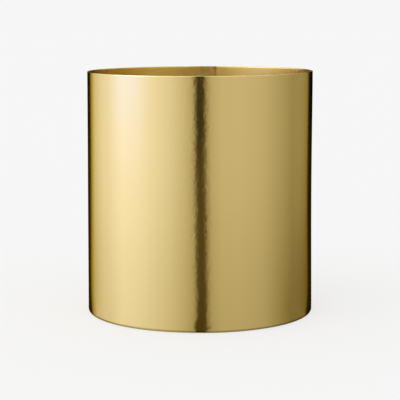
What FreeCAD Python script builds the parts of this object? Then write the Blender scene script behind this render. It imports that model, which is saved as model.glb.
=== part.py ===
import FreeCAD, Part
import math
import os

# Round cachepot of brass sheet, made from four pieces.
# The wall is one blank rolled to a tube. Its ends lap at the back, where one end is
# set inward by a joggle so that the outside stays flush, and solder fills the groove.
# The wall's lower edge is turned in as a lip. The base, a pressed pan with an upright
# flange, stands on that lip, and a ring of solder seals the flange to the wall.
# Millimetres, +Z up. The origin is the centre of the foot, on the surface it stands on.

# Overall sizes
outer_diameter = 140.0
height = 150.0

# Wall blank
sheet_thickness = 0.8
rim_easing = 0.3
lip_bend_radius = 1.2
lip_reach = 6.5

# Lap seam, measured from the cut edge of the ply that shows outside
seam_direction = 83.0
lap_width = 9.0
lap_clearance = 0.08
joggle_bend_radius = 1.2
groove_width = 0.4
notch_height = 10.0
relief_slot_height = 0.8
butt_gap = 0.25

# Base pan, whose outer corner is rounder than the wall's inner one by the ease
base_thickness = 0.8
base_clearance = 0.1
flange_height = 6.0
corner_ease = 0.6
centre_radius = 50.0
centre_rise = 1.6
centre_slope_run = 4.0

# Solder
seam_solder_hollow = 0.07
seam_solder_start_share = 0.35
base_solder_height = 1.4

# The overrun of every cut past the face it opens
cut_overrun = 1.0

# Places that follow from the sizes above
outer_radius = outer_diameter / 2
inner_radius = outer_radius - sheet_thickness
lap_outer_radius = inner_radius - lap_clearance
lap_inner_radius = lap_outer_radius - sheet_thickness
flange_radius = inner_radius - base_clearance
flange_bend_radius = lip_bend_radius + corner_ease - base_thickness
flange_top = sheet_thickness + flange_height

full_turn = 360.0
ring_sectors = 8
vertical = FreeCAD.Vector(0, 0, 1)
axis_foot = FreeCAD.Vector(0, 0, 0)

# Bends of the joggle, seen from above with the cut edge at angle zero.
# Each bend is given by its centre and by the radius of the sheet's outer face.
outward_bend_radius = joggle_bend_radius + sheet_thickness
outward_bend_reach = outer_radius - outward_bend_radius
inward_bend_reach = lap_outer_radius + joggle_bend_radius
bend_centre_spacing = outward_bend_radius + joggle_bend_radius
joggle_angle = math.degrees(math.acos(
    (outward_bend_reach ** 2 + inward_bend_reach ** 2 - bend_centre_spacing ** 2)
    / (2 * outward_bend_reach * inward_bend_reach)
))
groove_angle = math.degrees(groove_width / outer_radius)
butt_angle = math.degrees(butt_gap / outer_radius)
lap_angle = math.degrees(lap_width / outer_radius)
joggle_start = -(groove_angle + joggle_angle)
joggle_end = -groove_angle


def polar(radius, angle, z=0.0):
    """The point at that radius and angle, in degrees, about the pot's axis."""
    turn = math.radians(angle)
    return FreeCAD.Vector(radius * math.cos(turn), radius * math.sin(turn), z)


def ring_arc(radius, start, end):
    """An arc about the pot's axis from one angle to the other."""
    middle = (start + end) / 2
    return Part.Arc(polar(radius, start), polar(radius, middle), polar(radius, end)).toShape()


def bend_arc(centre, radius, start, end):
    """The short arc about a bend's centre between two points' directions, as a curve."""
    first = (start - centre).normalize() * radius
    last = (end - centre).normalize() * radius
    middle = (first + last).normalize() * radius
    return Part.Arc(centre + first, centre + middle, centre + last)


def line(start, end):
    """A straight edge between two points."""
    return Part.makeLine(start, end)


def joggle_places():
    """Centres of the joggle's two bends, and the points of the outer face where they meet and end."""
    outward_centre = polar(outward_bend_reach, joggle_start)
    inward_centre = polar(inward_bend_reach, joggle_end)
    between = inward_centre - outward_centre
    meeting = outward_centre + between * (outward_bend_radius / bend_centre_spacing)
    return outward_centre, inward_centre, meeting


def wall_plan():
    """The rolled sheet seen from above: full circle, joggle, and the ply under the lap."""
    outward_centre, inward_centre, meeting = joggle_places()
    half_way = (full_turn + joggle_start) / 2
    long_end = full_turn + joggle_start
    top_of_joggle = polar(outer_radius, joggle_start)
    foot_of_joggle = polar(lap_outer_radius, joggle_end)
    outward_inner = outward_bend_radius - sheet_thickness
    inward_inner = joggle_bend_radius + sheet_thickness
    edges = [
        ring_arc(outer_radius, 0, half_way),
        ring_arc(outer_radius, half_way, long_end),
        bend_arc(outward_centre, outward_bend_radius, top_of_joggle, meeting).toShape(),
        bend_arc(inward_centre, joggle_bend_radius, meeting, foot_of_joggle).toShape(),
        ring_arc(lap_outer_radius, joggle_end, lap_angle),
        line(polar(lap_outer_radius, lap_angle), polar(lap_inner_radius, lap_angle)),
        ring_arc(lap_inner_radius, lap_angle, joggle_end),
        bend_arc(inward_centre, inward_inner, foot_of_joggle, meeting).toShape(),
        bend_arc(outward_centre, outward_inner, meeting, top_of_joggle).toShape(),
        ring_arc(inner_radius, long_end, half_way),
        ring_arc(inner_radius, half_way, 0),
        line(polar(inner_radius, 0), polar(outer_radius, 0)),
    ]
    return Part.Face(Part.Wire(Part.__sortEdges__(edges)))


def bent_strip(points, bend_radii, thickness):
    """A bent sheet seen from its edge, in the XZ plane, as a face.

    The points run along one face of the sheet, whose material lies to the left.
    Each inner point has a bend, given by the radius on its hollow side, or None if it is sharp.
    """
    near = points[0]
    far = near + left_of((points[1] - near).normalize()) * thickness
    edges = [line(near, far)]
    for before, corner, after, radius in zip(points, points[1:], points[2:], bend_radii):
        coming = (corner - before).normalize()
        going = (after - corner).normalize()
        half_bend = coming.getAngle(going) / 2
        if radius is None:
            bisector = (left_of(coming) + left_of(going)).normalize()
            far_corner = corner + bisector * (thickness / math.cos(half_bend))
            edges += [line(near, corner), line(far, far_corner)]
            near = corner
            far = far_corner
            continue
        turns_left = left_of(coming).dot(going) > 0
        near_radius = radius + thickness if turns_left else radius
        set_back = near_radius * math.tan(half_bend)
        start = corner - coming * set_back
        end = corner + going * set_back
        centre = start + left_of(coming) * (near_radius if turns_left else -near_radius)
        far_start = start + left_of(coming) * thickness
        far_end = end + left_of(going) * thickness
        far_radius = radius if turns_left else radius + thickness
        near_bend = bend_arc(centre, near_radius, start, end).toBSpline()
        far_bend = bend_arc(centre, far_radius, far_start, far_end).toBSpline()
        edges += [line(near, start), near_bend.toShape()]
        edges += [line(far, far_start), far_bend.toShape()]
        near = end
        far = far_end
    last = points[-1]
    last_far = last + left_of((last - near).normalize()) * thickness
    edges += [line(near, last), line(far, last_far), line(last, last_far)]
    return Part.Face(Part.Wire(Part.__sortEdges__(edges)))


def left_of(direction):
    """The direction a quarter turn to the left in the XZ plane, with X right and Z up."""
    return FreeCAD.Vector(-direction.z, 0, direction.x)


def sector(face, start, end):
    """The solid that the face in the XZ plane sweeps from one angle to the other."""
    solid = face.revolve(axis_foot, vertical, end - start)
    solid.rotate(axis_foot, vertical, start)
    return solid


def ring(face, end=full_turn):
    """What the face sweeps from angle zero to the end, in equal sectors so that no face meets itself."""
    step = end / ring_sectors
    sectors = [sector(face, step * turn, step * (turn + 1)) for turn in range(ring_sectors)]
    return sectors[0].fuse(sectors[1:])


def block_section(inner, outer, low, high):
    """A rectangle in the XZ plane between two radii and two heights."""
    corners = [
        FreeCAD.Vector(inner, 0, low),
        FreeCAD.Vector(outer, 0, low),
        FreeCAD.Vector(outer, 0, high),
        FreeCAD.Vector(inner, 0, high),
    ]
    return Part.Face(Part.makePolygon(corners + corners[:1]))


def foot_section(top):
    """The wall's lower stretch seen from its edge: the lip, its bend and the wall up to that height."""
    points = [
        FreeCAD.Vector(outer_radius - lip_reach, 0, 0),
        FreeCAD.Vector(outer_radius, 0, 0),
        FreeCAD.Vector(outer_radius, 0, top),
    ]
    return bent_strip(points, [lip_bend_radius], sheet_thickness)


def at_seam(solid):
    """Turns a solid made with the cut edge at angle zero to where the seam is."""
    solid.rotate(axis_foot, vertical, seam_direction)
    return solid


def wall_sheet():
    """The rolled blank: lap seam above the notch, plain butted edges and the lip below it."""
    upper = wall_plan().extrude(vertical * (height - notch_height))
    upper.translate(vertical * notch_height)
    lower = ring(foot_section(notch_height), full_turn - butt_angle)
    slot_section = block_section(
        inner_radius - cut_overrun, outer_radius + cut_overrun,
        notch_height - relief_slot_height, notch_height,
    )
    slot = sector(slot_section, joggle_start, 0)
    wall = upper.fuse(lower.cut(slot)).removeSplitter()
    rim = [
        edge for edge in wall.Edges
        if edge.BoundBox.ZMin > height - rim_easing and edge.Curve.TypeId == "Part::GeomCircle"
    ]
    return at_seam(wall.makeChamfer(rim_easing, rim))


def base_pan():
    """The pressed base: raised centre, flat ring that stands on the lip, and upright flange."""
    foot = sheet_thickness
    centre = foot + centre_rise
    points = [
        FreeCAD.Vector(0, 0, centre),
        FreeCAD.Vector(centre_radius, 0, centre),
        FreeCAD.Vector(centre_radius + centre_slope_run, 0, foot),
        FreeCAD.Vector(flange_radius, 0, foot),
        FreeCAD.Vector(flange_radius, 0, flange_top),
    ]
    return ring(bent_strip(points, [None, None, flange_bend_radius], base_thickness))


def seam_solder():
    """The solder of the seam: groove beside the lap, relief slot, and the butted edges below."""
    outward_centre, inward_centre, meeting = joggle_places()
    top_of_joggle = polar(outer_radius, joggle_start)
    foot_of_joggle = polar(lap_outer_radius, joggle_end)
    sweep = (top_of_joggle - outward_centre).getAngle(meeting - outward_centre)
    turn = joggle_start + math.degrees(seam_solder_start_share * sweep)
    start = outward_centre + polar(outward_bend_radius, turn)
    edge_of_fill = polar(outer_radius - seam_solder_hollow, 0)
    edges = [
        bend_arc(outward_centre, outward_bend_radius, start, meeting).toShape(),
        bend_arc(inward_centre, joggle_bend_radius, meeting, foot_of_joggle).toShape(),
        ring_arc(lap_outer_radius, joggle_end, 0),
        line(polar(lap_outer_radius, 0), edge_of_fill),
        line(edge_of_fill, start),
    ]
    groove = Part.Face(Part.Wire(Part.__sortEdges__(edges)))
    groove = groove.extrude(vertical * (height - rim_easing - notch_height))
    groove.translate(vertical * notch_height)
    slot_low = notch_height - relief_slot_height
    slot_section = block_section(inner_radius, outer_radius, slot_low, notch_height)
    slot = sector(slot_section, joggle_start, 0)
    butt = sector(foot_section(slot_low), -butt_angle, 0)
    return at_seam(groove.fuse([slot, butt]).removeSplitter())


def base_solder():
    """The ring of solder between the flange's top and the wall, seen as a sloping bead."""
    corner = FreeCAD.Vector(inner_radius, 0, flange_top)
    high = FreeCAD.Vector(inner_radius, 0, flange_top + base_solder_height)
    low = FreeCAD.Vector(flange_radius - base_thickness, 0, flange_top)
    return ring(Part.Face(Part.makePolygon([corner, high, low, corner])))


def main():
    os.makedirs("parts", exist_ok=True)
    pieces = {
        "wall_sheet": wall_sheet(),
        "base_pan": base_pan(),
        "seam_solder": seam_solder(),
        "base_solder": base_solder(),
    }
    for name, shape in pieces.items():
        print(name, "solids", len(shape.Solids), "volume", round(shape.Volume), "valid", shape.isValid())
        shape.exportStep(f"parts/{name}.step")


main()
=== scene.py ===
"""Dresses a rolled brass cachepot and sets it on a pale studio floor."""

import math
from collections import Counter, namedtuple

import bpy
from bpy.props import FloatProperty, FloatVectorProperty, IntProperty, PointerProperty
from mathutils import Matrix, Vector, noise


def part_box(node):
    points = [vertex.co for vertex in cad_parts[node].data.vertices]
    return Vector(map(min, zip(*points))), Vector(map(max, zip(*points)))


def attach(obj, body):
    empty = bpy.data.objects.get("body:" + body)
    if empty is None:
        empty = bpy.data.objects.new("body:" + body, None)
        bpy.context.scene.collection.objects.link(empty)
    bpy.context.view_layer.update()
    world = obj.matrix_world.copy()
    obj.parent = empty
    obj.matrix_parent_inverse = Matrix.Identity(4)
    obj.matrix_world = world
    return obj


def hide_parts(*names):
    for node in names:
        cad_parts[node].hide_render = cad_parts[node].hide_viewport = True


bl_info = {
    "name": "Brass cachepot",
    "version": (1, 0, 0),
    "blender": (4, 5, 0),
    "location": "View3D > Sidebar > Cachepot",
    "description": "Builds the wall, base and solder of a rolled brass cachepot, and its studio",
    "category": "Object",
}

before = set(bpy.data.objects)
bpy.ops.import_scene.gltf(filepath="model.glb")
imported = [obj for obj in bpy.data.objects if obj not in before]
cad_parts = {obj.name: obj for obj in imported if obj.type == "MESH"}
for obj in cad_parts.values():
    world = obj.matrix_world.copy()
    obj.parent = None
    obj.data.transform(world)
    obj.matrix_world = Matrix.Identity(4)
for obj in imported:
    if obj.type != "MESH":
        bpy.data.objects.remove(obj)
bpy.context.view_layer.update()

# Sizes that the frame gives
MM = 0.001
WALL_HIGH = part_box("wall_sheet")[1]
PAN_LOW, PAN_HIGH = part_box("base_pan")
RING_LOW, RING_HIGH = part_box("base_solder")
OUTER_RADIUS = max(WALL_HIGH.x, WALL_HIGH.y)
POT_HEIGHT = WALL_HIGH.z
FRONT = -math.pi / 2


class PotShape(bpy.types.PropertyGroup):
    """Sizes of the sheet, its seam and its base."""
    sheet: FloatProperty(
        name="Sheet", description="Thickness of the brass sheet", default=0.8 * MM, unit="LENGTH",
    )
    rim_round: FloatProperty(
        name="Rim rounding", description="Radius worn onto the edges of the rim",
        default=0.28 * MM, unit="LENGTH",
    )
    lip_bend: FloatProperty(
        name="Lip bend", description="Hollow radius of the bend between wall and lip",
        default=1.2 * MM, unit="LENGTH",
    )
    lip_reach: FloatProperty(
        name="Lip reach", description="Width of the lip measured from the wall's outer face",
        default=6.5 * MM, unit="LENGTH",
    )
    seam_direction: FloatProperty(
        name="Seam direction", description="Direction of the lap's cut edge, seen from above",
        default=math.radians(83), unit="ROTATION",
    )
    lap_width: FloatProperty(
        name="Lap width", description="How far the inner ply runs under the outer one",
        default=9 * MM, unit="LENGTH",
    )
    lap_gap: FloatProperty(
        name="Lap gap", description="Film of solder between the two plies",
        default=0.08 * MM, unit="LENGTH",
    )
    joggle_bend: FloatProperty(
        name="Joggle bend", description="Hollow radius of the joggle's bends",
        default=1.2 * MM, unit="LENGTH",
    )
    groove: FloatProperty(
        name="Groove", description="Width of the groove beside the cut edge",
        default=0.4 * MM, unit="LENGTH",
    )
    notch_height: FloatProperty(
        name="Notch height", description="Height at which the lap starts above the foot",
        default=10 * MM, unit="LENGTH",
    )
    slot_height: FloatProperty(
        name="Relief slot", description="Height of the slot under the joggle",
        default=0.8 * MM, unit="LENGTH",
    )
    butt_gap: FloatProperty(
        name="Butt gap", description="Gap between the butted edges below the lap",
        default=0.25 * MM, unit="LENGTH",
    )
    pan_centre_radius: FloatProperty(
        name="Base centre", description="Radius of the base's raised centre",
        default=50 * MM, unit="LENGTH",
    )
    pan_centre_rise: FloatProperty(
        name="Base rise", description="How far the base's centre is raised",
        default=1.6 * MM, unit="LENGTH",
    )
    pan_slope: FloatProperty(
        name="Base slope", description="Run of the slope round the raised centre",
        default=4 * MM, unit="LENGTH",
    )
    pan_soft_bend: FloatProperty(
        name="Base step bend", description="Hollow radius of the bends round the raised centre",
        default=2 * MM, unit="LENGTH",
    )
    corner_ease: FloatProperty(
        name="Corner ease", description="How much rounder the base's corner is than the wall's",
        default=0.6 * MM, unit="LENGTH",
    )
    columns: IntProperty(
        name="Columns", description="Divisions round the pot", default=500, min=60,
    )


class PotFinish(bpy.types.PropertyGroup):
    """Colours of the metal."""
    brass: FloatVectorProperty(
        name="Brass", description="Colour of the bright sheet",
        default=(0.80, 0.635, 0.30), subtype="COLOR",
    )
    inside: FloatVectorProperty(
        name="Inside", description="Colour of the duller inside",
        default=(0.75, 0.55, 0.165), subtype="COLOR",
    )
    deep_brass: FloatVectorProperty(
        name="Deep brass", description="Colour of the sheet where it has tarnished",
        default=(0.62, 0.42, 0.15), subtype="COLOR",
    )
    brown_film: FloatVectorProperty(
        name="Brown film", description="Colour of the film left by heat beside the seam",
        default=(0.23, 0.12, 0.035), subtype="COLOR",
    )
    solder: FloatVectorProperty(
        name="Hard solder", description="Colour of the hard solder",
        default=(0.78, 0.66, 0.42), subtype="COLOR",
    )


class StudioSetup(bpy.types.PropertyGroup):
    """Camera, floor and backdrop of the studio."""
    camera_distance: FloatProperty(
        name="Camera distance", description="From the pot's axis to the camera",
        default=881.3 * MM, unit="LENGTH",
    )
    camera_height: FloatProperty(
        name="Camera height", description="Above the floor", default=188.3 * MM, unit="LENGTH",
    )
    camera_pitch: FloatProperty(
        name="Camera pitch", description="How far the camera looks down",
        default=math.radians(6.1), unit="ROTATION",
    )
    focal_length: FloatProperty(
        name="Focal length", description="Lens of the camera in millimetres", default=127.95,
    )
    shift_up: FloatProperty(
        name="Shift", description="Vertical shift of the lens", default=-0.1,
    )
    backdrop: FloatProperty(
        name="Backdrop", description="Brightness of the floor and backdrop as the camera sees them",
        default=0.922, min=0, max=1,
    )


Row = namedtuple("Row", "outer inner")
Column = namedtuple("Column", "angle plan")
Dent = namedtuple("Dent", "depth right high half_width half_height")
Nick = namedtuple("Nick", "degrees depth half_width")

# Marks that rolling has left in the wall: depths in millimetres, lengths in metres
WAVE_DEPTH = 0.045
WAVES_ROUND = 2.2
WAVE_LENGTH = 45 * MM
RIM_NARROWING = 0.32
WAIST_DEPTH = 0.40
WAIST_WIDTH = 0.5

# The sheet's lean across the front, in millimetres a radian, which bends the dark strip seen there
FLAT_DEPTH = 0.14
FLAT_WIDTH = 0.25
LEAN_AT_FOOT = 0.95
LEAN_LOST_TO_RIM = 1.6
LONG_RIPPLE = 0.10
LONG_RIPPLE_LENGTH = 9 * MM
SHORT_RIPPLE = 0.09
SHORT_RIPPLE_LENGTH = 3.7 * MM

# Dents at the front of the foot, in millimetres from its middle and from the floor
FOOT_DENTS = (Dent(0.32, 2.4, 3.8, 5.5, 3.0), Dent(0.05, 4.9, 4.1, 0.7, 0.7))

# Marks of filing and use on the rim: depths in millimetres, nicks in degrees from the front
RIM_WAVE = 0.05
RIM_WAVES_ROUND = 9
FILED_LOW_LEFT = 0.22
FILED_REACH = 3 * MM
RIM_NICKS = (
    Nick(-11, 0.16, 0.9), Nick(-47, 0.08, 0.7), Nick(38, 0.07, 1.1), Nick(86, 0.10, 0.8),
    Nick(151, 0.12, 0.9), Nick(163, 0.15, 0.7), Nick(-172, 0.14, 1.2), Nick(-139, 0.09, 0.9),
)

# Steps between the rows of the wall, fine in the lip and near the rim, and the turn of one row in a bend
FINE_ROW = 0.8 * MM
COARSE_ROW = 2.4 * MM
FINE_BELOW_RIM = 4 * MM
BEND_STEP = math.radians(11)

# Kinds of face, in the order of a piece's materials
OUTER_FACE, INNER_FACE, CUT_EDGE, LAP_FACE = range(4)

# The solder: the seam's bead, and the ring round the base with its waves round the pot
BEAD_HOLLOW = 0.05 * MM
BEAD_RIPPLE = 0.02 * MM
BEAD_RIPPLE_LENGTH = 2.5 * MM
BEAD_STEP = 1.1 * MM
TOE_CLEARANCE = 0.1 * MM
PAUSES_ROUND = 24
DRIFTS_ROUND = 5


def polar(radius, angle, z=0.0):
    """The point at that radius and angle about the pot's axis."""
    return Vector((radius * math.cos(angle), radius * math.sin(angle), z))


def bump(distance, width):
    """A smooth hill of height one that is a third as high at one width from its middle."""
    return math.exp(-(distance / width) ** 2)


def from_front(angle):
    """The angle from the front of the pot, positive towards the right, within half a turn."""
    return (angle - FRONT + math.pi) % math.tau - math.pi


def evenly(start, end, steps):
    """Values from start to end in even steps, both ends included."""
    return [start + (end - start) * step / steps for step in range(steps + 1)]


def front_lean(z):
    """How much the sheet leans across the front at that height, in millimetres a radian."""
    lean = LEAN_AT_FOOT - LEAN_LOST_TO_RIM * z / POT_HEIGHT
    lean += LONG_RIPPLE * math.sin(z / LONG_RIPPLE_LENGTH)
    return lean + SHORT_RIPPLE * math.sin(z / SHORT_RIPPLE_LENGTH + 1)


def hand_marks(angle, z):
    """How far the wall lies inside a true cylinder: the slight unevenness of rolled sheet."""
    front = from_front(angle)
    share = z / POT_HEIGHT
    marks = WAVE_DEPTH * (1 + noise.noise(polar(WAVES_ROUND, angle, z / WAVE_LENGTH)))
    marks += RIM_NARROWING * math.sin(front) ** 2 * share
    waist = bump(front - math.pi / 2, WAIST_WIDTH) * math.sin(math.pi * min(share, 1)) ** 2
    marks += WAIST_DEPTH * waist
    marks += (FLAT_DEPTH - front_lean(z) * front) * bump(front, FLAT_WIDTH)
    across = OUTER_RADIUS * front / MM
    for dent in FOOT_DENTS:
        aside = (across - dent.right) / dent.half_width
        above = (z / MM - dent.high) / dent.half_height
        marks += dent.depth * bump(math.hypot(aside, above), 1)
    return marks * MM


def rim_drop(angle):
    """How far the rim lies below its full height: filed a little low on the left, with small nicks."""
    front = from_front(angle)
    drop = RIM_WAVE * (1 + noise.noise(polar(RIM_WAVES_ROUND, angle)))
    drop += FILED_LOW_LEFT * (1 - math.sin(front))
    for nick in RIM_NICKS:
        drop += nick.depth * bump(front - math.radians(nick.degrees), math.radians(nick.half_width))
    return drop * MM


def strip_rows(points, bends, sheet, spacing):
    """Rows of a bent sheet seen from its edge, as pairs of points (radius, height).

    The points run along the sheet's outer face, with its material to the left.
    Each inner point has a bend, given by the radius on its hollow side.
    """
    points = [Vector(point) for point in points]
    rows = []
    start = points[0]
    for before, corner, after, bend in zip(points, points[1:], points[2:], bends):
        coming = (corner - before).normalized()
        going = (after - corner).normalized()
        turn = math.atan2(coming.cross(going), coming.dot(going))
        sign = math.copysign(1, turn)
        outer_bend = bend + sheet if turn > 0 else bend
        side = Vector((-coming.y, coming.x)) * sign
        end = corner - coming * outer_bend * math.tan(abs(turn) / 2)
        rows += straight_rows(start, end, sheet, spacing)[:-1]
        centre = end + side * outer_bend
        inner_bend = outer_bend - sheet * sign
        steps = max(3, math.ceil(abs(turn) / BEND_STEP))
        for swing in evenly(0, turn, steps)[:-1]:
            spoke = Matrix.Rotation(swing, 2) @ -side
            rows.append(Row(centre + spoke * outer_bend, centre + spoke * inner_bend))
        start = corner + going * outer_bend * math.tan(abs(turn) / 2)
    rows += straight_rows(start, points[-1], sheet, spacing)
    return rows


def straight_rows(start, end, sheet, spacing):
    """Rows along a straight run of sheet, both ends included."""
    along = (end - start).normalized()
    left = Vector((-along.y, along.x)) * sheet
    steps = max(1, math.ceil((end - start).length / spacing))
    places = [start.lerp(end, share) for share in evenly(0, 1, steps)]
    return [Row(place, place + left) for place in places]


def eased_rows(radius, sheet, top, easing, steps=4):
    """Rows of an upright sheet's rounded top edge."""
    rows = []
    for swing in evenly(0, math.pi / 2, steps):
        inset = easing * (1 - math.cos(swing))
        z = top - easing + easing * math.sin(swing)
        rows.append(Row(Vector((radius - inset, z)), Vector((radius - sheet + inset, z))))
    return rows


def two_faced(cells, place):
    """Vertices, faces and kinds of a sheet: its outer faces, inner faces and cut edges.

    A cell is a ring of grid keys, anticlockwise seen from outside.
    """
    vertices = []
    index = {}
    for cell in cells:
        for key in cell:
            if key not in index:
                index[key] = len(vertices)
                vertices += [place(key, "outer"), place(key, "inner")]
    rings = [[index[key] for key in cell] for cell in cells]
    sides = [side for ring in rings for side in zip(ring, ring[1:] + ring[:1])]
    uses = Counter(frozenset(side) for side in sides)
    cut = [side for side in sides if uses[frozenset(side)] == 1]
    faces = []
    for ring in rings:
        faces += [ring, [corner + 1 for corner in reversed(ring)]]
    faces += [[second, first, first + 1, second + 1] for first, second in cut]
    kinds = [OUTER_FACE, INNER_FACE] * len(rings) + [CUT_EDGE] * len(cut)
    return vertices, faces, kinds


def grid_cells(columns, rows, closed=False):
    """Cells between neighbouring columns and rows, given as lists of keys."""
    pairs = list(zip(columns, columns[1:]))
    if closed:
        pairs.append((columns[-1], columns[0]))
    return [
        ((left, low), (right, low), (right, high), (left, high))
        for left, right in pairs
        for low, high in zip(rows, rows[1:])
    ]


def tube(sections, closed=False):
    """Vertices and faces of a solid through rings of points, capped unless it is closed."""
    size = len(sections[0])
    vertices = [point for section in sections for point in section]
    faces = []
    count = len(sections)
    for step in range(count if closed else count - 1):
        here = step * size
        there = (step + 1) % count * size
        for corner in range(size):
            beside = (corner + 1) % size
            faces.append([here + corner, here + beside, there + beside, there + corner])
    if not closed:
        faces.append(list(reversed(range(size))))
        faces.append([(count - 1) * size + corner for corner in range(size)])
    return vertices, faces


def new_object(name, data):
    """An object with that mesh, lamp or camera, put in the scene."""
    made = bpy.data.objects.new(name, data)
    bpy.context.scene.collection.objects.link(made)
    return made


def make_piece(name, vertices, faces, materials, kinds=None, crease=35):
    """An object from vertices and faces, with smooth faces and hard creases."""
    mesh = bpy.data.meshes.new(name)
    mesh.from_pydata(vertices, [], faces)
    for material in materials:
        mesh.materials.append(material)
    if kinds:
        mesh.polygons.foreach_set("material_index", kinds)
    mesh.polygons.foreach_set("use_smooth", [True] * len(faces))
    mesh.set_sharp_from_angle(angle=math.radians(crease))
    mesh.update()
    return new_object(name, mesh)


def dress(piece, slot, *nodes):
    """Puts the piece on the pot's only body, in place of the frame's plain solids."""
    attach(piece, "root")
    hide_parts(*nodes)


class Seam:
    """The joggle and the lap, as angles and places seen from above."""

    def __init__(self, shape):
        outward = shape.joggle_bend + shape.sheet
        self.lap_radius = OUTER_RADIUS - shape.sheet - shape.lap_gap
        outward_reach = OUTER_RADIUS - outward
        inward_reach = self.lap_radius + shape.joggle_bend
        spacing = outward + shape.joggle_bend
        squares = outward_reach ** 2 + inward_reach ** 2 - spacing ** 2
        spread = math.acos(squares / (2 * outward_reach * inward_reach))
        self.edge = shape.seam_direction
        self.end = self.edge - shape.groove / OUTER_RADIUS
        self.start = self.end - spread
        self.butt = self.edge - shape.butt_gap / OUTER_RADIUS
        self.lap_end = self.edge + shape.lap_width / OUTER_RADIUS
        self.outward_centre = polar(outward_reach, self.start)
        self.inward_centre = polar(inward_reach, self.end)
        across = self.inward_centre - self.outward_centre
        self.turn = math.atan2(across.y, across.x) - self.start
        self.shape = shape

    def plan(self, share):
        """Outer and inner points and the outward direction at a share of the way through the joggle."""
        sheet = self.shape.sheet
        bend = self.shape.joggle_bend
        if share <= 0.5:
            spoke = polar(1, self.start + self.turn * share * 2)
            centre = self.outward_centre
            return centre + spoke * (bend + sheet), centre + spoke * bend, spoke
        left = self.start + self.turn - self.end
        spoke = polar(-1, self.end + left * (2 - share * 2))
        centre = self.inward_centre
        return centre + spoke * bend, centre + spoke * (bend + sheet), -spoke

    def columns(self, steps=14, lap_steps=14):
        """Columns through the joggle and under the lap."""
        plans = [self.plan(share) for share in evenly(0, 1, steps)[1:]]
        for angle in evenly(self.end, self.lap_end, lap_steps)[1:]:
            outer = polar(self.lap_radius, angle)
            plans.append((outer, outer - polar(self.shape.sheet, angle), polar(1, angle)))
        return [Column(math.atan2(plan[0].y, plan[0].x), plan) for plan in plans]


def wall_rows(shape):
    """Rows of the wall from the lip to the rim, and the number of the row at the slot's lower edge."""
    slot_low = shape.notch_height - shape.slot_height
    outline = [(OUTER_RADIUS - shape.lip_reach, 0), (OUTER_RADIUS, 0), (OUTER_RADIUS, slot_low)]
    rows = strip_rows(outline, [shape.lip_bend], shape.sheet, FINE_ROW)
    slot_row = len(rows) - 1
    notch = Vector((OUTER_RADIUS, shape.notch_height))
    shoulder = Vector((OUTER_RADIUS, POT_HEIGHT - FINE_BELOW_RIM))
    crown = Vector((OUTER_RADIUS, POT_HEIGHT - shape.rim_round))
    rows += straight_rows(notch, shoulder, shape.sheet, COARSE_ROW)
    rows += straight_rows(shoulder, crown, shape.sheet, FINE_ROW)[1:-1]
    rows += eased_rows(OUTER_RADIUS, shape.sheet, POT_HEIGHT, shape.rim_round)
    return rows, slot_row


def settle(point, angle):
    """Moves a point of the wall by the marks that rolling, filing and use have left there."""
    near_rim = min(max((point.z - POT_HEIGHT) / FILED_REACH + 1, 0), 1)
    lowered = Vector((0, 0, rim_drop(angle) * near_rim ** 2))
    return point - polar(hand_marks(angle, point.z), angle) - lowered


def wall_piece(shape):
    """The rolled wall with its lap, butted foot, lip, relief slot and worn rim."""
    seam = Seam(shape)
    rows, slot_row = wall_rows(shape)
    around = [Column(angle, None) for angle in evenly(seam.edge, math.tau + seam.start, shape.columns)]
    foot_end = [Column(angle + math.tau, None) for angle in evenly(seam.start, seam.butt, 6)[1:]]
    columns = around + foot_end + seam.columns()
    last = len(around) - 1
    first_of_lap = len(around) + len(foot_end)
    cells = grid_cells(range(len(around)), range(len(rows)))
    cells += grid_cells(range(last, first_of_lap), range(slot_row + 1))
    first_lap_cell = len(cells)
    lap_keys = [last, *range(first_of_lap, len(columns))]
    cells += grid_cells(lap_keys, range(slot_row + 1, len(rows)))

    def place(key, side):
        column, row = columns[key[0]], rows[key[1]]
        radius, z = getattr(row, side)
        if column.plan is None:
            return settle(polar(radius, column.angle, z), column.angle)
        outer, inner, outward = column.plan
        inset = OUTER_RADIUS - row.outer.x
        point = outer - outward * inset if side == "outer" else inner + outward * inset
        return settle(Vector((point.x, point.y, z)), column.angle)

    vertices, faces, kinds = two_faced(cells, place)
    for cell in range(first_lap_cell, len(cells)):
        kinds[2 * cell + 1] = LAP_FACE
    materials = [metal(name) for name in ("Bright brass", "Dull brass", "Filed brass", "Browned brass")]
    dress(make_piece("rolled_wall", vertices, faces, materials, kinds), "wall_brass", "wall_sheet")


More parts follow.
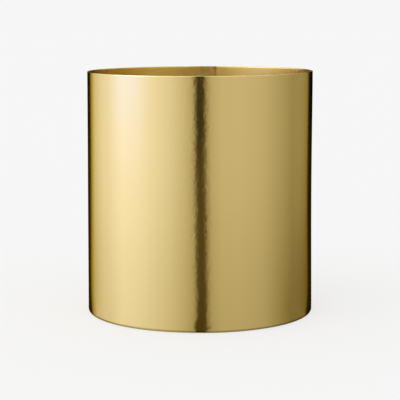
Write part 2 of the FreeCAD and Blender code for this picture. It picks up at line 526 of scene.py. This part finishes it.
def base_piece(shape):
    """The pressed base with its raised centre and upright flange."""
    hub = 2 * MM
    foot = PAN_LOW.z
    raised = foot + shape.pan_centre_rise
    easing = 0.15 * MM
    outline = [
        (hub, raised),
        (shape.pan_centre_radius, raised),
        (shape.pan_centre_radius + shape.pan_slope, foot),
        (PAN_HIGH.x, foot),
        (PAN_HIGH.x, PAN_HIGH.z - easing),
    ]
    soft = shape.pan_soft_bend
    corner = shape.lip_bend + shape.corner_ease - shape.sheet
    rows = strip_rows(outline, [soft, soft, corner], shape.sheet, spacing=3 * MM)
    rows = rows[:-1] + eased_rows(PAN_HIGH.x, shape.sheet, PAN_HIGH.z, easing)
    count = shape.columns // 2
    columns = list(range(count))
    cells = grid_cells(columns, range(len(rows)), closed=True)
    centre = (-1, 0)
    for left, right in zip(columns, columns[1:] + columns[:1]):
        cells.append((centre, (right, 0), (left, 0)))
    spring_height = 0.35 * MM
    spring_width = 38 * MM

    def place(key, side):
        column, row = key
        radius, z = getattr(rows[row], side)
        if key == centre:
            radius = 0
        point = polar(radius, math.tau * column / count, z)
        middle = max(0, 1 - radius / shape.pan_centre_radius)
        spring = noise.noise(Vector((point.x, point.y, 0)) / spring_width) + 0.3
        point.z += spring_height * spring * min(1, 3 * middle)
        return point

    vertices, faces, kinds = two_faced(cells, place)
    materials = [metal(name) for name in ("Weathered brass", "Dull brass", "Filed brass")]
    dress(make_piece("pressed_base", vertices, faces, materials, kinds), "base_brass", "base_pan")


def seam_solder_piece(shape):
    """The dressed solder: bead in the groove, filled slot and the line between the butted edges."""
    seam = Seam(shape)
    rows, slot_row = wall_rows(shape)
    lip_top = rows[0].inner.y
    angles = evenly(seam.start, seam.butt, 8) + [seam.edge]
    slot_keys = range(len(angles))
    cells = grid_cells(slot_keys, [slot_row, slot_row + 1])
    cells += grid_cells(slot_keys[-2:], range(slot_row + 1))

    def place(key, side):
        angle = angles[key[0]]
        radius, z = getattr(rows[key[1]], side)
        if side == "outer" and z > lip_top:
            unevenness = noise.noise(polar(60, angle, z / (2 * MM)))
            radius -= BEAD_HOLLOW * (0.6 + 0.4 * unevenness)
        return settle(polar(radius, angle, z), angle)

    vertices, faces, _ = two_faced(cells, place)
    first_of_bead = len(vertices)
    bead_vertices, bead_faces = tube(bead_sections(shape, seam))
    vertices += bead_vertices
    faces += [[corner + first_of_bead for corner in face] for face in bead_faces]
    piece = make_piece("seam_bead", vertices, faces, [metal("Hard solder")], crease=50)
    dress(piece, "hard_solder", "seam_solder")


def bead_sections(shape, seam):
    """Rings of the bead that fills the groove, from the notch to the rim."""
    low = shape.notch_height
    high = POT_HEIGHT - shape.rim_round
    along_groove = [seam.plan(share)[0] for share in (0.2, 0.35, 0.5, 0.62, 0.75, 0.88, 1.0)]
    along_groove.append(polar(seam.lap_radius, seam.edge))
    top = polar(OUTER_RADIUS - BEAD_HOLLOW, seam.edge)
    sections = []
    for z in evenly(low, high, math.ceil((high - low) / BEAD_STEP)):
        ripple = BEAD_RIPPLE * noise.noise(Vector((3, 7, z / BEAD_RIPPLE_LENGTH)))
        crown = []
        for share in (0.25, 0.5, 0.75):
            point = top.lerp(along_groove[0], share)
            sag = BEAD_HOLLOW * 2 * share * (1 - share)
            crown.append(point - point.normalized() * (sag + ripple))
        ring = along_groove + [top] + crown
        sections.append([
            settle(Vector((point.x, point.y, z)), math.atan2(point.y, point.x)) for point in ring
        ])
    return sections


def base_solder_piece(shape):
    """The ring of solder on top of the flange, rippled where the torch paused."""
    wall = RING_HIGH.x
    width = shape.sheet + TOE_CLEARANCE
    low = RING_LOW.z
    full = RING_HIGH.z - low
    sections = []
    for angle in evenly(0, math.tau, shape.columns)[:-1]:
        pause = noise.noise(polar(PAUSES_ROUND, angle))
        drift = noise.noise(polar(DRIFTS_ROUND, angle, 4))
        # Three quarters full, and just full where a pause and a drift meet
        height = full * (0.74 + 0.14 * pause + 0.12 * drift)
        reach = width * (0.86 + 0.12 * drift)
        ring = [polar(wall, angle, low)]
        for share in evenly(0, 1, 6):
            sag = 0.22 * math.sin(math.pi * share) * (1 + 0.4 * pause)
            radius = wall - reach * (share - sag * (1 - share))
            z = low + height * (1 - share - sag * share)
            ring.append(polar(radius, angle, max(z, low)))
        sections.append(ring)
    vertices, faces = tube(sections, closed=True)
    piece = make_piece("flange_bead", vertices, faces, [metal("Hard solder")], crease=60)
    dress(piece, "hard_solder", "base_solder")


def add_node(tree, kind, values=None, **settings):
    """A node of that kind with its settings, and its inputs set or linked."""
    made = tree.nodes.new(kind)
    for name, value in settings.items():
        setattr(made, name, value)
    for name, value in (values or {}).items():
        socket = made.inputs[name]
        if isinstance(value, bpy.types.NodeSocket):
            tree.links.new(value, socket)
        else:
            socket.default_value = value
    return made


def math_node(tree, operation, first, second=0.5, third=0.5):
    """The result of a sum on up to three values."""
    values = {0: first, 1: second, 2: third}
    return add_node(tree, "ShaderNodeMath", values, operation=operation).outputs[0]


def ranged(tree, value, low, high, to_low=0.0, to_high=1.0):
    """The value carried smoothly from one range to another."""
    values = {"Value": value, "From Min": low, "From Max": high, "To Min": to_low, "To Max": to_high}
    made = add_node(tree, "ShaderNodeMapRange", values, interpolation_type="SMOOTHSTEP")
    return made.outputs["Result"]


def with_alpha(colour):
    """The colour with full alpha."""
    return (*colour, 1.0)


def mixed(tree, factor, first, second):
    """The colour between two colours, each given as a socket or as red, green and blue."""
    colours = [
        colour if isinstance(colour, bpy.types.NodeSocket) else with_alpha(colour)
        for colour in (first, second)
    ]
    values = {0: factor, 6: colours[0], 7: colours[1]}
    return add_node(tree, "ShaderNodeMix", values, data_type="RGBA").outputs[2]


def tinted(tree, colour, mask, share, tint):
    """The colour, with a share of the tint laid over it where the mask is full."""
    return mixed(tree, math_node(tree, "MULTIPLY", mask, share), colour, tint)


def added(tree, value, mask, share):
    """The value, with a share of the mask added to it."""
    return math_node(tree, "MULTIPLY_ADD", mask, share, value)


def vector_node(tree, operation, first, second):
    """The vector that a sum on two vectors gives."""
    values = {0: first, 1: second}
    return add_node(tree, "ShaderNodeVectorMath", values, operation=operation).outputs["Vector"]


def level_length(tree, vector):
    """The length of a vector as seen from above."""
    level = vector_node(tree, "MULTIPLY", vector, (1, 1, 0))
    return add_node(tree, "ShaderNodeVectorMath", {0: level}, operation="LENGTH").outputs["Value"]


def noise_node(tree, place, scale, detail=2.0, roughness=0.5):
    """Noise over the place, between zero and one."""
    values = {"Vector": place, "Scale": scale, "Detail": detail, "Roughness": roughness}
    return add_node(tree, "ShaderNodeTexNoise", values).outputs["Fac"]


def object_place(tree):
    """Where a point of the surface lies, in the pot's own metres."""
    return add_node(tree, "ShaderNodeTexCoord").outputs["Object"]


def new_group(name, inputs, outputs):
    """An empty node group with inputs of those names and defaults, and outputs of those names."""
    group = bpy.data.node_groups.new(name, "ShaderNodeTree")
    for label, default in inputs.items():
        kind = "NodeSocketFloat" if isinstance(default, float) else "NodeSocketVector"
        socket = group.interface.new_socket(label, in_out="INPUT", socket_type=kind)
        socket.default_value = default
    for label in outputs:
        group.interface.new_socket(label, in_out="OUTPUT", socket_type="NodeSocketFloat")
    entry = group.nodes.new("NodeGroupInput")
    leave = group.nodes.new("NodeGroupOutput")
    return group, entry.outputs, leave.inputs


def grain_group(name):
    """Drawn grain of the sheet: fine scratches along one direction, wide bands and shallow dimples."""
    inputs = {"Stretch": (5200, 5200, 90), "Dimple scale": 620.0}
    group, given, result = new_group(name, inputs, ["Scratches", "Dimples", "Bands"])
    place = object_place(group)
    wide = vector_node(group, "MULTIPLY", given["Stretch"], (0.14, 0.14, 0.14))
    fine_place = vector_node(group, "MULTIPLY", place, given["Stretch"])
    wide_place = vector_node(group, "MULTIPLY", place, wide)
    group.links.new(noise_node(group, fine_place, 1.0, 3.0, 0.6), result["Scratches"])
    group.links.new(noise_node(group, wide_place, 1.0), result["Bands"])
    group.links.new(noise_node(group, place, given["Dimple scale"], 1.5), result["Dimples"])


def tarnish_group(name):
    """Clouds of tarnish and small spots."""
    inputs = {"Cloud scale": 28.0, "Spot scale": 900.0, "Coverage": 0.45}
    group, given, result = new_group(name, inputs, ["Clouds", "Spots"])
    place = object_place(group)
    clouds = noise_node(group, place, given["Cloud scale"], 4.0, 0.55)
    start = math_node(group, "SUBTRACT", 1.0, given["Coverage"])
    soft_edge = 0.3
    end = math_node(group, "ADD", start, soft_edge)
    group.links.new(ranged(group, clouds, start, end), result["Clouds"])
    specks = noise_node(group, place, given["Spot scale"], 1.0)
    faintest, full = 0.68, 0.76
    group.links.new(ranged(group, specks, faintest, full), result["Spots"])


def wear_group(name):
    """Rubbed edges at the rim and at the foot, as a share of one at the edge itself."""
    inputs = {"Rim": POT_HEIGHT, "Rim width": 1.2 * MM, "Foot width": 0.5 * MM}
    group, given, result = new_group(name, inputs, ["Rim wear", "Foot wear"])
    place = object_place(group)
    z = add_node(group, "ShaderNodeSeparateXYZ", {0: place}).outputs["Z"]
    ragged = noise_node(group, place, 700.0)
    rim_reach = math_node(group, "MULTIPLY", given["Rim width"], ragged)
    start = math_node(group, "SUBTRACT", given["Rim"], rim_reach)
    group.links.new(ranged(group, z, start, given["Rim"]), result["Rim wear"])
    foot_reach = math_node(group, "MULTIPLY", given["Foot width"], ragged)
    group.links.new(ranged(group, z, foot_reach, 0.0), result["Foot wear"])


def heat_group(name):
    """Brown film beside the seam, strongest on the lap and fading round the pot."""
    group, given, result = new_group(name, {"Spread": 9 * MM, "Blotches": 140.0}, ["Heat"])
    shape = bpy.context.scene.cachepot_shape
    middle = polar(OUTER_RADIUS, shape.seam_direction + shape.lap_width / OUTER_RADIUS / 2)
    place = object_place(group)
    away = level_length(group, vector_node(group, "SUBTRACT", place, middle))
    blotch = math_node(group, "ADD", noise_node(group, place, given["Blotches"], 3.0), 0.35)
    edge = math_node(group, "MULTIPLY", given["Spread"], blotch)
    fading_from, fading_to = 0.3, 1.7
    near = math_node(group, "MULTIPLY", edge, fading_from)
    far = math_node(group, "MULTIPLY", edge, fading_to)
    group.links.new(ranged(group, away, far, near), result["Heat"])


EFFECTS = {
    "Drawn grain": grain_group,
    "Tarnish": tarnish_group,
    "Rubbed edges": wear_group,
    "Seam heat": heat_group,
}


def placed(tree, name, **values):
    """The shared effect of that name, built at its first use, placed with its own values."""
    if name not in bpy.data.node_groups:
        EFFECTS[name](name)
    made = tree.nodes.new("ShaderNodeGroup")
    made.node_tree = bpy.data.node_groups[name]
    for label, value in values.items():
        made.inputs[label.replace("_", " ")].default_value = value
    return made.outputs


def banded(tree, grain, low, high):
    """Roughness that follows the grain's wide bands, whose noise lies mostly from 0.3 to 0.7."""
    return ranged(tree, grain["Bands"], 0.3, 0.7, low, high)


def outside_brass(tree, finish):
    """Bright brass with fine upright grain, a few specks and rubbed edges."""
    grain = placed(tree, "Drawn grain", Stretch=(3600, 3600, 60), Dimple_scale=450.0)
    tarnish = placed(tree, "Tarnish", Cloud_scale=24.0, Spot_scale=1100.0, Coverage=0.34)
    wear = placed(tree, "Rubbed edges")
    heat = placed(tree, "Seam heat", Spread=3.5 * MM, Blotches=260.0)
    colour = tinted(tree, finish.brass, tarnish["Clouds"], 0.10, finish.deep_brass)
    colour = tinted(tree, colour, tarnish["Spots"], 0.22, finish.deep_brass)
    colour = tinted(tree, colour, heat["Heat"], 0.35, finish.deep_brass)
    colour = tinted(tree, colour, grain["Scratches"], 0.08, finish.deep_brass)
    rough = added(tree, banded(tree, grain, 0.10, 0.13), tarnish["Clouds"], 0.05)
    rough = added(tree, rough, wear["Foot wear"], 0.22)
    height = added(tree, grain["Dimples"], grain["Scratches"], 0.10)
    return colour, rough, height, 0.036 * MM


def inside_brass(tree, finish):
    """The duller inside of the sheet, browned beside the seam."""
    grain = placed(tree, "Drawn grain", Stretch=(2600, 2600, 60), Dimple_scale=340.0)
    tarnish = placed(tree, "Tarnish", Cloud_scale=40.0, Spot_scale=620.0, Coverage=0.52)
    heat = placed(tree, "Seam heat", Spread=7 * MM, Blotches=150.0)
    colour = tinted(tree, finish.inside, tarnish["Clouds"], 0.36, finish.deep_brass)
    colour = tinted(tree, colour, tarnish["Spots"], 0.3, finish.brown_film)
    colour = tinted(tree, colour, heat["Heat"], 0.3, finish.brown_film)
    rough = added(tree, banded(tree, grain, 0.29, 0.32), heat["Heat"], 0.15)
    height = added(tree, grain["Dimples"], grain["Scratches"], 0.3)
    return colour, rough, height, 0.012 * MM


def lap_brass(tree, finish):
    """The inner ply of the lap, browned by the torch and mottled with old flux."""
    grain = placed(tree, "Drawn grain", Stretch=(1900, 1900, 120), Dimple_scale=420.0)
    tarnish = placed(tree, "Tarnish", Cloud_scale=230.0, Spot_scale=900.0, Coverage=0.62)
    film = math_node(tree, "MULTIPLY_ADD", tarnish["Clouds"], 0.4, 0.34)
    colour = mixed(tree, film, finish.inside, finish.brown_film)
    colour = tinted(tree, colour, tarnish["Spots"], 0.5, finish.deep_brass)
    height = added(tree, grain["Dimples"], grain["Scratches"], 0.3)
    return colour, banded(tree, grain, 0.36, 0.52), height, 0.05 * MM


def underside_brass(tree, finish):
    """The underside of the base: brass darkened by damp shelves."""
    grain = placed(tree, "Drawn grain", Stretch=(70, 2400, 2400), Dimple_scale=300.0)
    tarnish = placed(tree, "Tarnish", Cloud_scale=55.0, Spot_scale=480.0, Coverage=0.62)
    colour = tinted(tree, finish.brass, tarnish["Clouds"], 0.75, finish.deep_brass)
    colour = tinted(tree, colour, tarnish["Spots"], 0.5, finish.brown_film)
    rough = ranged(tree, tarnish["Clouds"], 0.0, 1.0, 0.36, 0.52)
    height = math_node(tree, "ADD", grain["Scratches"], grain["Dimples"])
    return colour, rough, height, 0.03 * MM


def cut_brass(tree, finish):
    """Cut and filed edges of the sheet, brighter and scratched across."""
    grain = placed(tree, "Drawn grain", Stretch=(3800, 3800, 3800), Dimple_scale=900.0)
    tarnish = placed(tree, "Tarnish", Cloud_scale=120.0, Spot_scale=1400.0, Coverage=0.4)
    colour = tinted(tree, finish.brass, tarnish["Clouds"], 0.3, finish.deep_brass)
    return colour, banded(tree, grain, 0.28, 0.4), grain["Scratches"], 0.02 * MM


def hard_solder(tree, finish):
    """Pale hard solder, pitted and partly browned by the torch."""
    grain = placed(tree, "Drawn grain", Stretch=(900, 900, 900), Dimple_scale=1500.0)
    tarnish = placed(tree, "Tarnish", Cloud_scale=210.0, Spot_scale=1300.0, Coverage=0.55)
    colour = tinted(tree, finish.solder, tarnish["Clouds"], 0.55, finish.deep_brass)
    colour = tinted(tree, colour, tarnish["Spots"], 0.8, finish.brown_film)
    height = added(tree, grain["Dimples"], tarnish["Spots"], -0.8)
    return colour, banded(tree, grain, 0.26, 0.44), height, 0.05 * MM


# Each gives its varying colour, roughness and height, and the depth of its relief
METALS = {
    "Bright brass": outside_brass,
    "Dull brass": inside_brass,
    "Browned brass": lap_brass,
    "Weathered brass": underside_brass,
    "Filed brass": cut_brass,
    "Hard solder": hard_solder,
}

# Colour that tints the metals' reflection at a grazing angle
GRAZING_TINT = (0.20, 0.145, 0.065, 1)


def metal(name):
    """The metal of that name, made at its first use."""
    if name in bpy.data.materials:
        return bpy.data.materials[name]
    material = bpy.data.materials.new(name)
    material.use_nodes = True
    tree = material.node_tree
    shader = tree.nodes["Principled BSDF"]
    shader.inputs["Metallic"].default_value = 1.0
    shader.inputs["Specular Tint"].default_value = GRAZING_TINT
    colour, rough, height, depth = METALS[name](tree, bpy.context.scene.cachepot_finish)
    relief = {"Strength": 1.0, "Distance": depth, "Height": height}
    normal = add_node(tree, "ShaderNodeBump", relief).outputs["Normal"]
    for label, output in (("Base Color", colour), ("Roughness", rough), ("Normal", normal)):
        tree.links.new(output, shader.inputs[label])
    return material


def bare_material(name):
    """A stage material with no shader yet, its tree and the socket for its surface."""
    material = bpy.data.materials.new(name)
    material.use_nodes = True
    nodes = material.node_tree.nodes
    nodes.remove(nodes["Principled BSDF"])
    return material, material.node_tree, nodes["Material Output"].inputs["Surface"]


def plain_seen(tree):
    """One for the rays that see the backdrop, straight or in metal and glass, and zero for the rest."""
    path = add_node(tree, "ShaderNodeLightPath").outputs
    seen = math_node(tree, "MAXIMUM", path["Is Camera Ray"], path["Is Glossy Ray"])
    return math_node(tree, "MAXIMUM", seen, path["Is Transmission Ray"])


# Share of the floor's colour that the lamps light, so that it takes shadows, and how brightly they do
FLOOR_LIT_SHARE = 0.27
FLOOR_LAMP_LIGHT = 1.07
FLOOR_REACH = 12.0
FLOOR_BELOW_POT = 0.05 * MM
# Grey of the floor for all rays but those that see it
PLAIN_FLOOR = 0.8


def floor_material(studio):
    """A pale floor that keeps the pot's shadow and meets the backdrop without a line."""
    material, tree, surface = bare_material("Studio floor")
    level = studio.backdrop
    lit = add_node(tree, "ShaderNodeBsdfDiffuse", {"Color": with_alpha([level * FLOOR_LIT_SHARE] * 3)})
    rest = level * (1 - FLOOR_LIT_SHARE * FLOOR_LAMP_LIGHT)
    glow = add_node(tree, "ShaderNodeEmission", {"Color": (1, 1, 1, 1), "Strength": rest})
    seen = add_node(tree, "ShaderNodeAddShader", {0: lit.outputs[0], 1: glow.outputs[0]})
    plain = add_node(tree, "ShaderNodeBsdfDiffuse", {"Color": with_alpha([PLAIN_FLOOR] * 3)})
    sides = {0: plain_seen(tree), 1: plain.outputs[0], 2: seen.outputs[0]}
    choice = add_node(tree, "ShaderNodeMixShader", sides)
    tree.links.new(choice.outputs[0], surface)
    return material


def stage_floor(studio):
    """A broad pale floor just under the pot."""
    reach = FLOOR_REACH
    corners = [(-reach, -reach, 0), (reach, -reach, 0), (reach, reach, 0), (-reach, reach, 0)]
    mesh = bpy.data.meshes.new("studio_floor")
    mesh.from_pydata(corners, [], [(0, 1, 2, 3)])
    mesh.materials.append(floor_material(studio))
    floor = new_object("studio_floor", mesh)
    floor.location.z = -FLOOR_BELOW_POT


def stage_world(studio):
    """An even pale surround."""
    world = bpy.data.worlds.new("Studio surround")
    bpy.context.scene.world = world
    world.use_nodes = True
    background = world.node_tree.nodes["Background"]
    background.inputs["Color"].default_value = with_alpha([studio.backdrop] * 3)
    background.inputs["Strength"].default_value = 1.0


# The light round the pot, in degrees from the lens, positive towards the right, and its brightness
LIGHT_ROUND = (
    # From straight behind to the dark gap behind the left box
    (-180, 0.55), (-175, 0.48), (-170, 0.04), (-149.2, 0.04),
    # The left box, fading towards the lens
    (-145, 1.00), (-140, 1.20), (-134, 1.35), (-126, 1.20), (-106, 1.13), (-85, 1.26),
    (-64, 1.19), (-47, 1.07), (-30, 0.94), (-15, 0.75), (-9, 0.64), (-5.4, 0.54),
    # The dark gap at the lens
    (-2.7, 0.05), (3.8, 0.01),
    # The right box
    (7.0, 0.45), (10.5, 0.62), (20, 0.71), (40, 0.72), (66, 0.66), (85, 0.55),
    (107, 0.43), (128, 0.55), (140, 0.66),
    # The dark gap behind the right box, to straight behind
    (145, 0.01), (169, 0.01), (175, 0.45), (180, 0.55),
)

# Radians from the lens at which the boxes' edges stop turning further aside near the pot
WIDEST_TURN = 1.3

# Light of the floor close to the pot, as a share of full light, and the degrees over which it changes
NEAR_SHARE = 0.82
NEAR_SHARE_RIGHT = 0.58
RIGHT_BEGINS = (60.0, 125.0)
RIGHT_ENDS = (150.0, 178.0)

# How far from the pot full light begins, and how much a height counts against a distance
FULL_LIGHT_REACH = 0.62
HEIGHT_WEIGHT = 1.5

# Where the foot shades the floor, and what is left of the light there
SHADE_START = OUTER_RADIUS - 0.5 * MM
SHADE_END = OUTER_RADIUS + 4 * MM
SHADE_SHARE = 0.62

# The least light, low down and higher up, with the heights between which it changes
GLOW_HEIGHTS = (0.02, 0.10)
GLOW_LEVELS = (0.085, 0.01)

# The warm tone of weak light, and the whiter glare in the middle of the left box
GREEN_POWER = 1.12
BLUE_POWER = 1.68
GLARE_DEGREES = -78.0
GLARE_EDGE = (34.0, 4.0)
GLARE_HEIGHTS = (0.0, 0.13)
GREEN_GLARE = 0.06
BLUE_GLARE = 0.52

# How much stronger the boxes are at the top, everywhere and at the glare
TOP_HEIGHTS = (0.17, 0.30)
TOP_GAIN = 0.8
TOP_GLARE_GAIN = 1.5
TOP_GLARE_EDGE = (44.0, 10.0)

# Radius and height of the bowl that carries the light: floor, bend and side
BOWL_PROFILE = (
    (OUTER_RADIUS - 1.2 * MM, 0.0), (SHADE_END, 0.0), (0.10, 0.0), (0.20, 0.0), (0.34, 0.0),
    (0.46, 0.0), (0.54, 0.012), (0.60, 0.05), (0.63, 0.11), (0.645, 0.20), (0.65, 0.32), (0.65, 0.46),
)
BOWL_COLUMNS = 144
BOWL_ABOVE_FLOOR = 0.1 * MM


def light_round(tree, degrees):
    """Brightness seen round the pot: a soft box on each side of the lens and dark gaps between."""
    share = math_node(tree, "MULTIPLY_ADD", degrees, 1 / 360, 0.5)
    ramp = add_node(tree, "ShaderNodeValToRGB", {"Fac": share})
    stops = ramp.color_ramp.elements
    for angle, level in LIGHT_ROUND[1:-1]:
        stops.new((angle + 180) / 360)
    for stop, (angle, level) in zip(stops, LIGHT_ROUND):
        stop.color = (level, level, level, 1)
    return ramp.outputs["Color"]


def box_degrees(tree, x, y, radius):
    """Degrees from the lens, turned aside near the pot to keep a box's edge upright in the metal."""
    angle = math_node(tree, "ARCTAN2", x, math_node(tree, "MULTIPLY", y, -1.0))
    beyond = math_node(tree, "SUBTRACT", math_node(tree, "MULTIPLY", radius, 2.0), OUTER_RADIUS)
    widening = math_node(tree, "DIVIDE", OUTER_RADIUS, beyond)
    frontal = math_node(tree, "MAXIMUM", math_node(tree, "MINIMUM", angle, WIDEST_TURN), -WIDEST_TURN)
    turned = math_node(tree, "MULTIPLY_ADD", frontal, widening, angle)
    return math_node(tree, "MULTIPLY", turned, math.degrees(1))


def near_light(tree, degrees, radius, z):
    """The share of full light at a place: less close to the pot, and least on its right."""
    along = math_node(tree, "MULTIPLY_ADD", z, HEIGHT_WEIGHT, radius)
    beyond = math_node(tree, "SUBTRACT", along, OUTER_RADIUS)
    far = math_node(tree, "MINIMUM", math_node(tree, "DIVIDE", beyond, FULL_LIGHT_REACH), 1.0)
    falling = ranged(tree, degrees, *RIGHT_BEGINS, NEAR_SHARE, NEAR_SHARE_RIGHT)
    rising = ranged(tree, degrees, *RIGHT_ENDS, NEAR_SHARE_RIGHT, NEAR_SHARE)
    near = math_node(tree, "MAXIMUM", falling, rising)
    return math_node(tree, "MULTIPLY_ADD", math_node(tree, "SUBTRACT", 1.0, near), far, near)


def toned(tree, light, power, glare, glare_share):
    """One colour of the light, from the power it is raised to and its share in the glare."""
    tone = math_node(tree, "POWER", light, power)
    return added(tree, tone, math_node(tree, "MULTIPLY", tone, glare), glare_share)


def reflector_material():
    """Light of two long soft boxes with a dark gap between them, as the metal sees it."""
    material, tree, surface = bare_material("Soft boxes")
    place = object_place(tree)
    x, y, z = add_node(tree, "ShaderNodeSeparateXYZ", {0: place}).outputs
    radius = level_length(tree, place)
    degrees = box_degrees(tree, x, y, radius)
    light = math_node(tree, "MULTIPLY", light_round(tree, degrees), near_light(tree, degrees, radius, z))
    light = math_node(tree, "MAXIMUM", light, ranged(tree, z, *GLOW_HEIGHTS, *GLOW_LEVELS))
    shade = ranged(tree, radius, SHADE_START, SHADE_END, SHADE_SHARE, 1.0)
    light = math_node(tree, "MULTIPLY", light, shade)
    aside = math_node(tree, "ABSOLUTE", math_node(tree, "SUBTRACT", degrees, GLARE_DEGREES))
    glare = ranged(tree, aside, *GLARE_EDGE)
    glare = math_node(tree, "MULTIPLY", glare, ranged(tree, z, *GLARE_HEIGHTS))
    green = toned(tree, light, GREEN_POWER, glare, GREEN_GLARE)
    blue = toned(tree, light, BLUE_POWER, glare, BLUE_GLARE)
    colour = add_node(tree, "ShaderNodeCombineXYZ", {0: light, 1: green, 2: blue}).outputs[0]
    at_glare = ranged(tree, aside, *TOP_GLARE_EDGE)
    gain = math_node(tree, "MULTIPLY_ADD", at_glare, TOP_GLARE_GAIN, TOP_GAIN)
    strength = math_node(tree, "MULTIPLY_ADD", ranged(tree, z, *TOP_HEIGHTS), gain, 1.0)
    glow = add_node(tree, "ShaderNodeEmission", {"Color": colour, "Strength": strength})
    tree.links.new(glow.outputs[0], surface)
    return material


def stage_reflector():
    """The bowl that carries the soft boxes, which only polished metal shows."""
    size = len(BOWL_PROFILE)
    angles = evenly(0, math.tau, BOWL_COLUMNS)[:-1]
    vertices = [polar(radius, angle, z) for angle in angles for radius, z in BOWL_PROFILE]
    cells = grid_cells(range(BOWL_COLUMNS), range(size), closed=True)
    # The bowl shows its inside, so each ring of corners runs the other way round
    faces = [[column * size + row for column, row in cell[:1] + cell[:0:-1]] for cell in cells]
    bowl = make_piece("soft_box_bowl", vertices, faces, [reflector_material()], crease=180)
    bowl.location.z = BOWL_ABOVE_FLOOR
    bowl.visible_camera = False
    bowl.visible_diffuse = False
    bowl.visible_transmission = False
    bowl.visible_shadow = False


def stage_sun(name, azimuth, elevation, strength, spread):
    """A broad soft sun from that direction, azimuth counted from the front towards the right."""
    light = bpy.data.lights.new(name, "SUN")
    light.energy = strength
    light.angle = math.radians(spread)
    up = math.radians(elevation)
    toward = polar(math.cos(up), FRONT + math.radians(azimuth), math.sin(up))
    new_object(name, light).rotation_euler = toward.to_track_quat("Z", "Y").to_euler()


def stage_camera(studio):
    """The camera of the photograph."""
    data = bpy.data.cameras.new("camera")
    data.sensor_width = 36.0
    data.lens = studio.focal_length
    data.shift_y = studio.shift_up
    data.clip_start = 0.01
    data.clip_end = 100.0
    camera = new_object("camera", data)
    camera.location = (0, -studio.camera_distance, studio.camera_height)
    camera.rotation_euler = (math.pi / 2 - studio.camera_pitch, 0, 0)
    bpy.context.scene.camera = camera


class CACHEPOT_OT_wall(bpy.types.Operator):
    """Build the rolled wall with its lap seam, lip and rim"""
    bl_idname = "cachepot.wall"
    bl_label = "Rolled wall"

    def execute(self, context):
        wall_piece(context.scene.cachepot_shape)
        return {"FINISHED"}


class CACHEPOT_OT_base(bpy.types.Operator):
    """Build the pressed base with its flange"""
    bl_idname = "cachepot.base"
    bl_label = "Pressed base"

    def execute(self, context):
        base_piece(context.scene.cachepot_shape)
        return {"FINISHED"}


class CACHEPOT_OT_solder(bpy.types.Operator):
    """Build the beads of hard solder at the seam and round the base"""
    bl_idname = "cachepot.solder"
    bl_label = "Solder beads"

    def execute(self, context):
        seam_solder_piece(context.scene.cachepot_shape)
        base_solder_piece(context.scene.cachepot_shape)
        return {"FINISHED"}


class CACHEPOT_OT_stage(bpy.types.Operator):
    """Set up the floor, surround, soft boxes and camera"""
    bl_idname = "cachepot.stage"
    bl_label = "Studio"

    def execute(self, context):
        studio = context.scene.cachepot_studio
        stage_camera(studio)
        stage_floor(studio)
        stage_world(studio)
        stage_reflector()
        stage_sun("key_sun", azimuth=-40, elevation=52, strength=0.5, spread=50)
        stage_sun("fill_sun", azimuth=55, elevation=60, strength=0.12, spread=60)
        return {"FINISHED"}


class CACHEPOT_PT_build(bpy.types.Panel):
    """Panel with the sizes, colours and build steps"""
    bl_label = "Cachepot"
    bl_space_type = "VIEW_3D"
    bl_region_type = "UI"
    bl_category = "Cachepot"

    def draw(self, context):
        for name, kind in GROUPS.items():
            box = self.layout.box()
            for label in kind.__annotations__:
                box.prop(getattr(context.scene, name), label)
        for operator in OPERATORS:
            self.layout.operator(operator.bl_idname)


OPERATORS = (CACHEPOT_OT_stage, CACHEPOT_OT_wall, CACHEPOT_OT_base, CACHEPOT_OT_solder)
GROUPS = {
    "cachepot_shape": PotShape,
    "cachepot_finish": PotFinish,
    "cachepot_studio": StudioSetup,
}


def register():
    for name, group in GROUPS.items():
        bpy.utils.register_class(group)
        setattr(bpy.types.Scene, name, PointerProperty(type=group))
    for operator in OPERATORS:
        bpy.utils.register_class(operator)
    bpy.utils.register_class(CACHEPOT_PT_build)


def unregister():
    bpy.utils.unregister_class(CACHEPOT_PT_build)
    for operator in OPERATORS:
        bpy.utils.unregister_class(operator)
    for name, group in GROUPS.items():
        delattr(bpy.types.Scene, name)
        bpy.utils.unregister_class(group)


def main():
    register()
    bpy.context.scene.view_settings.view_transform = "Standard"
    bpy.ops.cachepot.stage()
    bpy.ops.cachepot.wall()
    bpy.ops.cachepot.base()
    bpy.ops.cachepot.solder()


if __name__ == "__main__":
    main()
